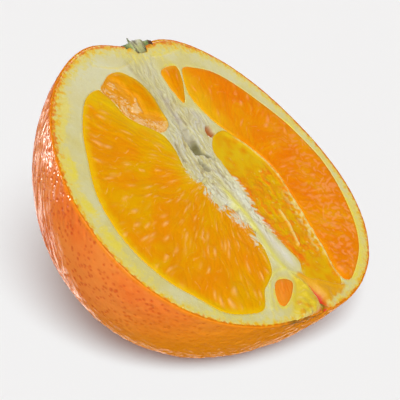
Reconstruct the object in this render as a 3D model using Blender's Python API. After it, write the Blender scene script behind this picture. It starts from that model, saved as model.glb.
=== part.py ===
"""Half of a navel orange, cut lengthwise through its stem and its navel.

The half is built in the frame of its cut face: +Y runs up the core to the stem, +X runs across the
face and +Z stands out of it, with the origin in the middle of the fruit. It is then turned so that
it lies on the skin of its back, on a small flat spot whose middle is the origin of the part.
"""

from math import acos, atan2, cos, exp, hypot, pi, radians, sin

import bmesh
import bpy
from mathutils import Matrix, Vector

MM = 0.001

# The outer form. Its terms are shares of the radius.
FRUIT_RADIUS = 40 * MM
HALF_DEPTH = 0.97  # depth of the half behind its face
OVAL = -0.0064  # a little shorter along the core than across
TAPER = 0.0306  # full shoulders at the stem, narrower at the navel
SQUARENESS = -0.0100
FULL_LEFT = -0.0528  # the left side stands further from the core
FULL_TOP_LEFT = -0.0506
SIDE_WAVE = 0.0159
STEM_DIMPLE, STEM_DIMPLE_WIDTH = 0.098, 0.223  # depth, and half width in radians
NAVEL_DIMPLE, NAVEL_DIMPLE_WIDTH = 0.011, 0.202

# How the half lies
SPIN = radians(-5.33)  # the stem turned in the plane of the face
TILT = radians(41.69)  # the face leaned from level
HEADING = radians(52.64)  # the side to which it leans, from -Y towards +X
FRUIT_MIDDLE = Vector((0.40, 0.09, 38.70)) * MM  # from the middle of the flat spot

# Thickness of the rind on the face, by the angle from the stem: waves round it, size and phase
RIND_WAVES = [(0, 4.95 * MM, 0), (1, 3.1 * MM, radians(-30)),
              (2, 0.6 * MM, radians(-45)), (3, 0.65 * MM, radians(32))]

# Levels above and below the pith of the face
PULP_RISE = 0.6 * MM  # the cut pulp swells
PULP_EDGE = 0.5 * MM  # rounding of its edge
FILM_LEVEL = -0.9 * MM  # a segment that was cut along its wall
TORN_LEVEL = -2.4 * MM  # a segment that was torn open
CORE_LEVEL = -1.0 * MM
ROOT = -3.5 * MM  # how far down the swellings start
CLEAR = 3.0 * MM  # how far up the cutters end

# Where the pulp meets the rind, as angles from the stem
LEFT_SEGMENTS = (radians(-154), radians(-34))
RIGHT_SEGMENTS = (radians(20), radians(153))
PULP_ARC_STEPS = 12

# Borders of the segments on the side of the core, in mm on the face
LEFT_INNER = [(-16.8, 23.6), (-14.6, 18.8), (-11.4, 15.0), (-9.0, 10.6), (-8.4, 5.0),
              (-7.2, -0.5), (-6.2, -6.0), (-3.8, -11.0), (-2.3, -16.5), (-2.9, -21.5), (-5.2, -26.0),
              (-9.4, -28.4), (-11.4, -31.2)]
RIGHT_INNER = [(15.0, -31.6), (15.2, -27.0), (16.3, -20.5), (16.9, -12.5), (17.2, -4.5),
               (15.0, 2.8), (11.6, 8.2), (9.0, 12.4), (7.0, 18.0), (7.0, 23.5)]
FILM_OUTER = [(14.0, -33.4), (14.2, -29.0), (15.6, -20.0), (16.2, -11.0), (16.2, -3.5),
              (13.8, 3.0), (10.6, 7.6)]
FILM_INNER = [(6.6, 8.6), (3.2, 6.6), (2.6, 1.5), (3.4, -4.0), (2.9, -10.0), (3.8, -15.5),
              (5.4, -21.5), (6.6, -27.5), (8.6, -32.2)]
TRIANGLE = [(2.9, 29.0), (5.8, 30.0), (8.8, 29.0), (7.4, 24.8), (5.2, 21.0), (3.6, 19.4), (2.6, 23.5)]
TORN = [(-16.8, 28.4), (-12.8, 30.2), (-8.8, 30.2), (-5.9, 27.8), (-4.6, 23.4), (-4.9, 18.2),
        (-6.6, 14.6), (-10.0, 15.8), (-13.4, 18.6), (-15.4, 22.4), (-17.6, 25.8)]
NAVEL_PULP = [(-2.2, -28.0), (-1.9, -31.0), (-3.6, -33.5), (-6.4, -33.0), (-7.2, -29.8), (-4.8, -27.6)]
CORE = [(-1.6, 28.0), (-3.4, 22.0), (-3.9, 16.0), (-5.6, 11.0), (-6.6, 4.0), (-5.4, -3.0), (-3.0, -10.0),
        (-0.9, -15.0), (-1.4, -21.5), (-1.8, -26.0), (3.4, -25.5), (4.4, -19.5), (2.4, -13.0),
        (2.2, -6.0), (1.7, 1.0), (2.0, 7.5), (3.4, 12.6), (1.9, 18.0), (1.1, 23.0), (0.6, 27.0)]

# Eggs on the face, in mm and degrees: middle, half width, half length, reach, level, lean
TORN_LOBE = ((-9.4, 24.2), 3.3, 7.0, 2.6, -2.3, 33)
LOBES = [((0.4, -32.9), 2.7, 3.4, 1.5, -0.3, -10), ((7.4, -34.2), 1.6, 2.2, 1.2, -0.3, 25)]
HOLLOWS = [((-1.0, 10.2), 1.1, 4.6, 4.5, 0.0, -3), ((-2.4, 3.0), 0.9, 2.1, 4.0, 0.0, 14),
           ((5.7, 11.0), 0.6, 1.3, 2.2, 0.0, -6)]

# The fold where the skin turns in round the navel, in mm: its section, as points with half widths
FOLD = [((2.4, -27.8), 0.15), ((3.5, -31.0), 0.35), ((4.2, -33.8), 0.6), ((3.7, -36.0), 0.8),
        ((2.4, -38.4), 1.1), ((1.0, -42.0), 1.5)]
FOLD_MIDDLE = -2.6 * MM  # it turns round this line beside the core
FOLD_TURN = (radians(-20), radians(165))  # from above the face to the back of the navel
FOLD_STEPS = 18
FOLD_FADE = 11 * MM  # it grows shallower as it turns, by this much at its end

# The calyx, and the stub of the stem that it keeps in the pith
CALYX_RADIUS = 4.4 * MM
CALYX_LOBES, CALYX_LOBE_SHARE = 5, 0.14
CALYX_MIDDLE = 1.0 * MM  # it sits off the core, to the right
STUB_RADIUS, STUB_DEPTH = 2.2 * MM, 2.2 * MM
SOCKET_LENGTH = 8.8 * MM  # from the end of the stub to well above the skin
LIES_FROM = 0.5  # share of the lobes' reach from which they lie on the skin
CALYX_PROFILE = [(0.0, 1.5), (0.9, 1.5), (1.5, 2.1), (2.2, 2.0), (3.0, 1.3),
                 (3.8, 0.9), (4.4, 0.3), (4.1, 0.0), (3.2, 0.0)]  # radius and height above its seat, in mm
GAP = 0.3 * MM  # between the calyx and the fruit

# Colour and roughness
PULP_LOOK = ((0.78, 0.28, 0.01), 0.35)
CALYX_LOOK = ((0.30, 0.32, 0.12), 0.75)

# Fineness of the meshes
SKIN_STEPS, SKIN_RINGS = 96, 48
EGG_STEPS, EGG_RINGS = 18, 12
CALYX_STEPS = 30
CURVE_STEPS = 3
SEAT_PASSES = 6
FACE_RING = 0.01  # of the radius: rings of the skin above this are in front of the face
SHARP_ANGLE = radians(40)
WELD = 0.002 * MM


def skin_radius(direction):
    """Distance of the skin from the middle of the fruit, before the depth is scaled."""
    across, up = direction.x, max(-1.0, min(1.0, direction.y))
    from_stem = acos(up)
    share = 1 + OVAL * cos(2 * from_stem) + TAPER * cos(3 * from_stem) + SQUARENESS * cos(4 * from_stem)
    share += across * (FULL_LEFT + FULL_TOP_LEFT * up + SIDE_WAVE * (4 * up * up - 1))
    share -= STEM_DIMPLE * exp(-((from_stem / STEM_DIMPLE_WIDTH) ** 2))
    share -= NAVEL_DIMPLE * exp(-(((pi - from_stem) / NAVEL_DIMPLE_WIDTH) ** 2))
    return FRUIT_RADIUS * share


def skin_point(direction):
    point = direction * skin_radius(direction)
    point.z *= HALF_DEPTH
    return point


def seat_height(x, z):
    """Height of the skin round the stem, above the middle of the fruit."""
    height = FRUIT_RADIUS
    for _ in range(SEAT_PASSES):
        direction = Vector((x, height, z / HALF_DEPTH)).normalized()
        height = direction.y * skin_radius(direction)
    return height


def pulp_arc(start, end):
    """Points in mm where the pulp meets the rind, from one angle to another."""
    points = []
    for i in range(PULP_ARC_STEPS + 1):
        angle = start + (end - start) * i / PULP_ARC_STEPS
        across, up = sin(angle), cos(angle)
        rind = sum(size * cos(waves * angle - phase) for waves, size, phase in RIND_WAVES)
        reach = (skin_radius(Vector((across, up, 0))) - rind) / MM
        points.append((across * reach, up * reach))
    return points


def ribbon(line):
    """The outline round a line of points with half widths."""
    left, right = [], []
    for i, ((x, y), half) in enumerate(line):
        before, after = line[max(i - 1, 0)][0], line[min(i + 1, len(line) - 1)][0]
        along = Vector((after[0] - before[0], after[1] - before[1])).normalized()
        left.append((x - along.y * half, y + along.x * half))
        right.append((x + along.y * half, y - along.x * half))
    return left + right[::-1]


def flesh(name, colour, roughness):
    made = bpy.data.materials.new(name)
    made.use_nodes = True
    shader = made.node_tree.nodes["Principled BSDF"]
    shader.inputs["Base Color"].default_value = (*colour, 1)
    shader.inputs["Roughness"].default_value = roughness
    return made


def to_mesh(bm, name):
    bmesh.ops.recalc_face_normals(bm, faces=bm.faces)
    mesh = bpy.data.meshes.new(name)
    bm.to_mesh(mesh)
    bm.free()
    return mesh


def add(name, mesh, collection, parent):
    made = bpy.data.objects.new(name, mesh)
    collection.objects.link(made)
    made.parent = parent
    return made


def cap(bm, plane_co, plane_no):
    """Cuts off what lies in front of a plane and closes the cut."""
    geometry = bm.verts[:] + bm.edges[:] + bm.faces[:]
    cut = bmesh.ops.bisect_plane(bm, geom=geometry, dist=WELD, plane_co=plane_co, plane_no=plane_no,
                                 clear_outer=True)
    rim = [part for part in cut["geom_cut"] if isinstance(part, bmesh.types.BMEdge)]
    bmesh.ops.contextual_create(bm, geom=rim)


def half_fruit(name, face):
    """The half with a plain face, and the flat spot that it rests on."""
    bm = bmesh.new()
    bmesh.ops.create_uvsphere(bm, u_segments=SKIN_STEPS, v_segments=SKIN_RINGS, radius=1)
    bmesh.ops.delete(bm, geom=[vert for vert in bm.verts if vert.co.z > FACE_RING], context="VERTS")
    for vert in bm.verts:
        vert.co = skin_point(vert.co.normalized())
    bmesh.ops.holes_fill(bm, edges=bm.edges, sides=0)
    to_face = face.inverted()
    cap(bm, to_face.translation, to_face.to_3x3() @ Vector((0, 0, -1)))
    return to_mesh(bm, name)


def slab(name, points, bottom, top, edge=0.0):
    """A smooth closed outline in mm, made solid between two levels of the face."""
    curve = bpy.data.curves.new(name, "CURVE")
    curve.dimensions = "2D"
    curve.fill_mode = "BOTH"
    curve.resolution_u = CURVE_STEPS
    curve.extrude = (top - bottom) / 2 - edge
    curve.bevel_depth = edge
    curve.bevel_resolution = 1
    curve.offset = -edge
    spline = curve.splines.new("BEZIER")
    spline.bezier_points.add(len(points) - 1)
    spline.use_cyclic_u = True
    for point, (x, y) in zip(spline.bezier_points, points):
        point.co = (x * MM, y * MM, 0)
        point.handle_left_type = point.handle_right_type = "AUTO"
    guide = bpy.data.objects.new(name, curve)
    bpy.context.scene.collection.objects.link(guide)
    bpy.context.view_layer.update()
    graph = bpy.context.evaluated_depsgraph_get()
    outline = bpy.data.meshes.new_from_object(guide.evaluated_get(graph))
    bpy.data.objects.remove(guide)
    bm = bmesh.new()
    bm.from_mesh(outline)
    bpy.data.meshes.remove(outline)
    bmesh.ops.remove_doubles(bm, verts=bm.verts, dist=WELD)
    bmesh.ops.translate(bm, verts=bm.verts, vec=(0, 0, (top + bottom) / 2))
    return to_mesh(bm, name)


def egg(name, middle, half_width, half_length, reach, level, lean):
    """An egg that lies along the core, in mm, leaned by an angle in degrees."""
    bm = bmesh.new()
    bmesh.ops.create_uvsphere(bm, u_segments=EGG_STEPS, v_segments=EGG_RINGS, radius=1)
    bmesh.ops.scale(bm, verts=bm.verts, vec=Vector((half_width, half_length, reach)) * MM)
    bmesh.ops.rotate(bm, verts=bm.verts, matrix=Matrix.Rotation(radians(lean), 3, "Z"))
    bmesh.ops.translate(bm, verts=bm.verts, vec=Vector((*middle, level)) * MM)
    return to_mesh(bm, name)


def navel_fold(name):
    """The fold, turned round the navel under the face."""
    start, end = FOLD_TURN
    bm = bmesh.new()
    verts = [bm.verts.new((x * MM, y * MM, 0)) for x, y in ribbon(FOLD)]
    edges = [bm.edges.new(pair) for pair in zip(verts, verts[1:] + verts[:1])]
    middle = Vector((FOLD_MIDDLE, 0, 0))
    bmesh.ops.rotate(bm, verts=verts, cent=middle, matrix=Matrix.Rotation(start, 3, "Y"))
    bmesh.ops.spin(bm, geom=verts + edges, cent=middle, axis=(0, 1, 0), angle=end - start, steps=FOLD_STEPS)
    bmesh.ops.holes_fill(bm, edges=bm.edges, sides=0)
    for vert in bm.verts:
        turned = atan2(-vert.co.z, vert.co.x - FOLD_MIDDLE)
        vert.co.y -= FOLD_FADE * (max(0.0, turned) / end) ** 2
    return to_mesh(bm, name)


def stub_socket(name):
    """The hole in the pith that takes the stub of the stem, with its gap."""
    bottom = seat_height(CALYX_MIDDLE, 0) - STUB_DEPTH - GAP
    bm = bmesh.new()
    radius = STUB_RADIUS + GAP
    bmesh.ops.create_cone(bm, cap_ends=True, segments=CALYX_STEPS, radius1=radius, radius2=radius,
                          depth=SOCKET_LENGTH)
    bmesh.ops.rotate(bm, verts=bm.verts, matrix=Matrix.Rotation(radians(90), 3, "X"))
    bmesh.ops.translate(bm, verts=bm.verts, vec=(CALYX_MIDDLE, bottom + SOCKET_LENGTH / 2, 0))
    return to_mesh(bm, name)


def calyx(name):
    """Lobes that lie on the skin round the stub of the stem, cut through by the face."""
    profile = [Vector((radius * MM, height * MM, 0)) for radius, height in CALYX_PROFILE]
    stub = [(STUB_RADIUS, 0), (STUB_RADIUS, -STUB_DEPTH), (0, -STUB_DEPTH)]
    profile += [Vector((radius, height, 0)) for radius, height in stub]
    bm = bmesh.new()
    verts = [bm.verts.new(point) for point in profile]
    edges = [bm.edges.new(pair) for pair in zip(verts, verts[1:])]
    bmesh.ops.spin(bm, geom=verts + edges, cent=(0, 0, 0), axis=(0, 1, 0), angle=2 * pi,
                   steps=CALYX_STEPS, use_merge=True)
    bmesh.ops.remove_doubles(bm, verts=bm.verts, dist=WELD)
    stub_seat = seat_height(CALYX_MIDDLE, 0) + GAP
    for vert in bm.verts:
        out = hypot(vert.co.x, vert.co.z)
        past_stub = max(0.0, (out - STUB_RADIUS) / (CALYX_RADIUS - STUB_RADIUS))
        lobed = 1 + CALYX_LOBE_SHARE * past_stub * cos(CALYX_LOBES * atan2(vert.co.z, vert.co.x))
        vert.co.x = vert.co.x * lobed + CALYX_MIDDLE
        vert.co.z *= lobed
        seat = seat_height(vert.co.x, vert.co.z) + GAP
        vert.co.y += stub_seat + (seat - stub_seat) * min(1.0, past_stub / LIES_FROM)
    bmesh.ops.recalc_face_normals(bm, faces=bm.faces)
    cap(bm, Vector((0, 0, 0)), Vector((0, 0, 1)))
    return to_mesh(bm, name)


def main():
    for old in list(bpy.data.objects):
        bpy.data.objects.remove(old, do_unlink=True)
    parts = bpy.data.collections.new("orange_half")
    cutters = bpy.data.collections.new("orange_half_cutters")
    for collection in (parts, cutters):
        bpy.context.scene.collection.children.link(collection)

    middle = bpy.data.objects.new("fruit_middle", None)
    parts.objects.link(middle)
    middle.location = FRUIT_MIDDLE
    turn = Matrix.Rotation(HEADING, 3, "Z") @ Matrix.Rotation(TILT, 3, "X") @ Matrix.Rotation(SPIN, 3, "Z")
    middle.rotation_euler = turn.to_euler()
    bpy.context.view_layer.update()

    fruit = add("orange_half", half_fruit("orange_half", middle.matrix_world), parts, middle)
    fruit.data.materials.append(flesh("orange_pulp", *PULP_LOOK))
    stem = add("calyx", calyx("calyx"), parts, middle)
    stem.data.materials.append(flesh("calyx_green", *CALYX_LOOK))

    swell = [("pulp_left", LEFT_INNER + pulp_arc(*LEFT_SEGMENTS)),
             ("pulp_right", RIGHT_INNER + pulp_arc(*RIGHT_SEGMENTS)),
             ("pulp_triangle", TRIANGLE), ("pulp_navel", NAVEL_PULP)]
    steps = [(slab("film", FILM_INNER[::-1] + FILM_OUTER[::-1], FILM_LEVEL, CLEAR), "DIFFERENCE"),
             (slab("torn", TORN, TORN_LEVEL, CLEAR), "DIFFERENCE"),
             (slab("core", CORE, CORE_LEVEL, CLEAR), "DIFFERENCE")]
    steps += [(slab(name, points, ROOT, PULP_RISE, PULP_EDGE), "UNION") for name, points in swell]
    steps += [(egg("torn_lobe", *TORN_LOBE), "UNION")]
    steps += [(egg(f"navel_lobe_{i}", *lobe), "UNION") for i, lobe in enumerate(LOBES)]
    steps += [(egg(f"hollow_{i}", *hollow), "DIFFERENCE") for i, hollow in enumerate(HOLLOWS)]
    steps += [(navel_fold("navel_fold"), "DIFFERENCE"), (stub_socket("stub_socket"), "DIFFERENCE")]
    for mesh, operation in steps:
        tool = add(mesh.name, mesh, cutters, middle)
        tool.hide_render = True
        tool.display_type = "WIRE"
        modifier = fruit.modifiers.new(mesh.name, "BOOLEAN")
        modifier.operation = operation
        modifier.object = tool
        modifier.solver = "EXACT"

    for part in (fruit, stem):
        part.data.shade_smooth()
        part.data.set_sharp_from_angle(angle=SHARP_ANGLE)


main()
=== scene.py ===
from math import cos, pi, radians, sin

import bmesh
import bpy
import numpy as np
from mathutils import Matrix, Vector, noise


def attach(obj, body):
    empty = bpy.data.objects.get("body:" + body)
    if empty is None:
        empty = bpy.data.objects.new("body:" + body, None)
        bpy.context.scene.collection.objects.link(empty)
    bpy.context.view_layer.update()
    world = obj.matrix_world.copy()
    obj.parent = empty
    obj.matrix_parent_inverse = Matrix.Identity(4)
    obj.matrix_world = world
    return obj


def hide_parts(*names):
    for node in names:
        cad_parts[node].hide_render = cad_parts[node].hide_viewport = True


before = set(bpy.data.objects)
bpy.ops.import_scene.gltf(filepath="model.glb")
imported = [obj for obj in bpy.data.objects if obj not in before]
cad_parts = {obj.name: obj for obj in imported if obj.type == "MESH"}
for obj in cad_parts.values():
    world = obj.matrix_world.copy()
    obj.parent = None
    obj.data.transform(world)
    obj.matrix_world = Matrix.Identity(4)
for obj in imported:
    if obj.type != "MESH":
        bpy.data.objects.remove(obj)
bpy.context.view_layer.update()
print("frame loaded:", sorted(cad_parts))

# Everything is modelled in mm on the cut face: x runs across it, y up the core to the stem, z out of it.
# This is how the half lies, the same as its solid.
lie = {"spin": -5.33, "tilt": 41.69, "heading": 52.64, "middle": (0.40, 0.09, 38.70)}
turn = (Matrix.Rotation(radians(lie["heading"]), 4, "Z") @ Matrix.Rotation(radians(lie["tilt"]), 4, "X")
        @ Matrix.Rotation(radians(lie["spin"]), 4, "Z"))
toPart = Matrix.Scale(0.001, 4) @ Matrix.Translation(lie["middle"]) @ turn

# The outer form, the same as its solid: shares of the radius
skin = {"radius": 40, "halfDepth": 0.97, "oval": -0.0064, "taper": 0.0306, "square": -0.0100,
        "left": -0.0528, "topLeft": -0.0506, "wave": 0.0159,
        "stemDip": 0.098, "stemWidth": 0.223, "navelDip": 0.011, "navelWidth": 0.202}


def skinReach(dx, dy):  # distance of the skin from the middle of the fruit, by direction
    fromStem = np.arccos(np.clip(dy, -1, 1))
    share = 1 + skin["oval"] * np.cos(2 * fromStem) + skin["taper"] * np.cos(3 * fromStem)
    share += skin["square"] * np.cos(4 * fromStem)
    share += dx * (skin["left"] + skin["topLeft"] * dy + skin["wave"] * (4 * dy * dy - 1))
    share -= skin["stemDip"] * np.exp(-(fromStem / skin["stemWidth"]) ** 2)
    share -= skin["navelDip"] * np.exp(-((pi - fromStem) / skin["navelWidth"]) ** 2)
    return skin["radius"] * share


def rindInset(x, y):  # how far a point of the face lies inside the skin
    out = np.hypot(x, y) + 1e-9
    return skinReach(x / out, y / out) - out


floorUp = np.array(turn.to_3x3().transposed() @ Vector((0, 0, 1)))
toLeft = np.array(turn.to_3x3().transposed() @ Vector((-1, 0, 0)))


def heightAbove(points):  # above the floor, for points beside the cut face
    return points @ floorUp + lie["middle"][2]


# Small tools for lines and outlines on the face
def smoothLine(points, closed=True, steps=6):
    points = np.array(points, float)
    count = len(points)
    share = np.linspace(0, 1, steps, endpoint=False)[:, None]
    rows = []
    for i in range(count if closed else count - 1):
        pick = [(i + k) % count if closed else min(max(i + k, 0), count - 1) for k in (-1, 0, 1, 2)]
        a, b, c, d = points[pick]
        rows.append(b + 0.5 * ((c - a) * share + (2 * a - 5 * b + 4 * c - d) * share ** 2
                               + (3 * b - a - 3 * c + d) * share ** 3))
    return np.vstack(rows if closed else rows + [points[-1:]])


def nearStretch(x, y, start, end):  # distance from a straight stretch, and how far along it
    (ax, ay), (ex, ey) = start, end - start
    along = np.clip(((x - ax) * ex + (y - ay) * ey) / (ex * ex + ey * ey + 1e-12), 0, 1)
    return np.hypot(x - ax - along * ex, y - ay - along * ey), along


def insideBy(x, y, outline):  # distance inside a closed outline, below zero outside
    away, inner = np.full(x.shape, 1e9), np.zeros(x.shape, bool)
    for start, end in zip(outline, np.roll(outline, -1, 0)):
        away = np.minimum(away, nearStretch(x, y, start, end)[0])
        (ax, ay), (bx, by) = start, end
        if ay != by:
            inner ^= ((ay > y) != (by > y)) & (x < ax + (y - ay) * (bx - ax) / (by - ay))
    return np.where(inner, away, -away)


def nearLine(x, y, line):  # distance from an open line, and how far along it the nearest point is
    away, share = np.full(x.shape, 1e9), np.zeros(x.shape)
    for i, (start, end) in enumerate(zip(line, line[1:])):
        gap, along = nearStretch(x, y, start, end)
        share = np.where(gap < away, (i + along) / (len(line) - 1), share)
        away = np.minimum(away, gap)
    return away, share


def ease(value, low, high):
    share = np.clip((value - low) / (high - low), 0, 1)
    return share * share * (3 - 2 * share)


def within(value, low, full, fading, gone):  # rises, stays and falls again
    return ease(value, low, full) * (1 - ease(value, fading, gone))


def bell(value, width):
    return np.exp(-(value / width) ** 2)


def softNoise(x, y, z=0):  # on the face, z only picks another pattern
    x, y, z = np.broadcast_arrays(x, y, z)
    return np.array([noise.noise(point) for point in zip(x.tolist(), y.tolist(), z.tolist())])


def cells(x, y, layer=0):  # distance from the cell's middle, depth into it, and its own number
    x, y, layer = np.broadcast_arrays(x, y, layer)
    near, depth, own = np.empty(x.shape), np.empty(x.shape), np.empty(x.shape)
    for i, point in enumerate(zip(x.tolist(), y.tolist(), layer.tolist())):
        gaps, seeds = noise.voronoi(point)
        near[i] = gaps[0]
        depth[i] = gaps[1] - gaps[0]
        own[i] = noise.noise(seeds[0] * 7.31)
    return near, depth, own


# Mesh helpers
def faceGrid(low, high, step):
    bm = bmesh.new()
    columns, rows = round((high[0] - low[0]) / step), round((high[1] - low[1]) / step)
    bmesh.ops.create_grid(bm, x_segments=columns, y_segments=rows, size=0.5)
    bmesh.ops.scale(bm, verts=bm.verts, vec=(columns * step, rows * step, 1))
    bmesh.ops.translate(bm, verts=bm.verts, vec=((low[0] + high[0]) / 2, (low[1] + high[1]) / 2, 0))
    return bm


def flatPlaces(bm):
    places = np.array([vert.co[:2] for vert in bm.verts])
    return places[:, 0], places[:, 1]


def trim(bm, keep):  # and nothing stays that hangs by a single corner
    bmesh.ops.delete(bm, geom=[v for v, kept in zip(bm.verts, keep) if not kept], context="VERTS")
    loose = [1]
    while loose:
        loose = [v for v in bm.verts if not v.link_faces or sum(e.is_boundary for e in v.link_edges) > 2]
        bmesh.ops.delete(bm, geom=loose, context="VERTS")


def setLayers(bm, **layers):  # all but the inset and a sac's own number are masks from 0 to 1
    for name, values in layers.items():
        layer = bm.verts.layers.float.new(name)
        values = values if name in ("inset", "own") else np.clip(values, 0, 1)
        for vert, value in zip(bm.verts, values.tolist()):
            vert[layer] = value


def setGrain(bm, u, v, w=None):  # coordinates that run with the fibres
    layer = bm.verts.layers.float_vector.new("grain")
    w = np.zeros(len(u)) if w is None else w
    for vert, place in zip(bm.verts, np.stack([u, v, w], 1).tolist()):
        vert[layer] = place


def setHeights(bm, heights):
    for vert, height in zip(bm.verts, heights.tolist()):
        vert.co.z = height


def openEdges(bm):
    return [edge for edge in bm.edges if edge.is_boundary]


def extrude(bm, edges):
    made = bmesh.ops.extrude_edge_only(bm, edges=edges)["geom"]
    return [[part for part in made if isinstance(part, kind)] for kind in (bmesh.types.BMVert, bmesh.types.BMEdge)]


def closeBelow(bm, depth, shrink=0.97):  # walls and a bottom, so that the piece is closed
    below, edges = extrude(bm, openEdges(bm))
    middle = sum((vert.co for vert in below), Vector()) / len(below)
    for vert in below:
        vert.co.x += (middle.x - vert.co.x) * (1 - shrink)
        vert.co.y += (middle.y - vert.co.y) * (1 - shrink)
        vert.co.z = depth
    edges = [edge for edge in edges if edge.is_boundary]
    bottom = bmesh.ops.holes_fill(bm, edges=edges, sides=0)["faces"]
    bmesh.ops.triangulate(bm, faces=bottom)


def addObject(name, data):
    thing = bpy.data.objects.new(name, data)
    bpy.context.scene.collection.objects.link(thing)
    return thing


def addPiece(name, bm, material, node="orange_half"):
    bmesh.ops.transform(bm, matrix=toPart, verts=bm.verts)
    bmesh.ops.recalc_face_normals(bm, faces=bm.faces)
    mesh = bpy.data.meshes.new(name)
    bm.to_mesh(mesh)
    bm.free()
    mesh.shade_smooth()
    mesh.materials.append(material)
    piece = addObject(name, mesh)
    piece.visible_diffuse = False  # keeps its orange light off the floor
    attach(piece, "root")
    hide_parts(node)
    print(f"{name}: {len(mesh.polygons)} faces")


# Material helpers
def tint(red, green, blue):  # from read-off 8-bit colour numbers; from the numbers of a colour picker
    values = [part / 255 for part in (red, green, blue)]
    values = [part / 12.92 if part < 0.04 else ((part + 0.055) / 1.055) ** 2.4 for part in values]
    return (*[part * 0.75 for part in values], 1)


def tints(look):
    return {name: tint(*colour) for name, colour in look.items()}


class NodeBench:  # builds one material's nodes
    def __init__(self, name):
        self.material = bpy.data.materials.new(name)
        self.material.use_nodes = True
        self.tree = self.material.node_tree
        self.shader = self.tree.nodes["Principled BSDF"]
        self.place = None

    def fill(self, node, inputs):  # a link or a plain value for each input
        for key, value in inputs.items():
            if isinstance(value, bpy.types.NodeSocket):
                self.tree.links.new(value, node.inputs[key])
            else:
                node.inputs[key].default_value = value

    def add(self, kind, inputs, **settings):
        node = self.tree.nodes.new(kind)
        for key, value in settings.items():
            setattr(node, key, value)
        self.fill(node, inputs)
        return node

    def objectPlace(self):  # object coordinates in mm
        if self.place is None:
            place = self.add("ShaderNodeTexCoord", {}).outputs["Object"]
            mapping = self.add("ShaderNodeMapping", {"Vector": place, "Scale": (1000, 1000, 1000)})
            self.place = mapping.outputs["Vector"]
        return self.place

    def layer(self, name, vector=False):
        return self.add("ShaderNodeAttribute", {}, attribute_name=name).outputs["Vector" if vector else "Fac"]

    def noise(self, scale, detail=3, roughness=0.5, place=None, stretch=None):
        place = place or self.objectPlace()
        if stretch:
            place = self.add("ShaderNodeMapping", {"Vector": place, "Scale": stretch}).outputs["Vector"]
        inputs = {"Vector": place, "Scale": scale, "Detail": detail, "Roughness": roughness}
        return self.add("ShaderNodeTexNoise", inputs).outputs["Fac"]

    def voronoi(self, scale):
        return self.add("ShaderNodeTexVoronoi", {"Vector": self.objectPlace(), "Scale": scale}).outputs["Distance"]

    def spread(self, value, low, high, toLow=0, toHigh=1):
        inputs = {"Value": value, "From Min": low, "From Max": high, "To Min": toLow, "To Max": toHigh}
        return self.add("ShaderNodeMapRange", inputs, interpolation_type="SMOOTHSTEP").outputs["Result"]

    def math(self, operation, a, b):
        return self.add("ShaderNodeMath", {0: a, 1: b}, operation=operation).outputs["Value"]

    def plus(self, a, b):
        return self.math("ADD", a, b)

    def times(self, a, b):
        return self.math("MULTIPLY", a, b)

    def blend(self, share, a, b):
        return self.add("ShaderNodeMix", {"Factor": share, "A": a, "B": b}, data_type="RGBA").outputs["Result"]

    def vary(self, scale, low, high, detail=3, roughness=0.5):  # wanders between two values
        return self.spread(self.noise(scale, detail, roughness), 0.3, 0.7, low, high)

    def strands(self, stretch, detail=2, roughness=0.5):  # noise drawn out along the grain
        return self.noise(1, detail, roughness, place=self.layer("grain", vector=True), stretch=stretch)

    def paint(self, colour, *coats):  # tones laid over each other, by a share or by a layer of the mesh
        for share, tone in coats:
            colour = self.blend(self.layer(share) if isinstance(share, str) else share, colour, tone)
        return colour

    def bump(self, height, strength, distance, **onto):
        inputs = {"Height": height, "Strength": strength, "Distance": distance, **onto}
        return self.add("ShaderNodeBump", inputs).outputs["Normal"]

    def finish(self, gloss=None, soft=(), **sockets):
        sockets = {key.replace("_", " "): value for key, value in sockets.items()}
        # soft: how much light goes in, how deep in m, and how far for each colour
        sockets.update(zip(("Subsurface Weight", "Subsurface Scale", "Subsurface Radius"), soft))
        if gloss:  # a wet sheen that keeps some of the fruit's own colour
            sockets["Specular IOR Level"] = 0
            skin = {"Normal": sockets["Normal"]}
            facing = self.add("ShaderNodeLayerWeight", skin).outputs["Facing"]
            share = self.spread(facing, gloss.get("from", 0.3), 0.95, 0, gloss["edge"])
            turned = self.add("ShaderNodeLayerWeight", {}).outputs["Facing"]
            turned = self.spread(turned, *gloss.get("turned", (0, 0.3)))
            share = self.plus(self.times(self.times(share, turned), gloss.get("broken", 1)), gloss["front"])
            skin.update({"Roughness": sockets["Roughness"], "Color": self.blend(share, (0, 0, 0, 1), gloss["tint"])})
            sheen = self.add("ShaderNodeBsdfGlossy", skin)
            both = self.add("ShaderNodeAddShader", {0: self.shader.outputs["BSDF"], 1: sheen.outputs["BSDF"]})
            self.fill(self.tree.nodes["Material Output"], {"Surface": both.outputs["Shader"]})
        self.fill(self.shader, sockets)
        return self.material


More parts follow.
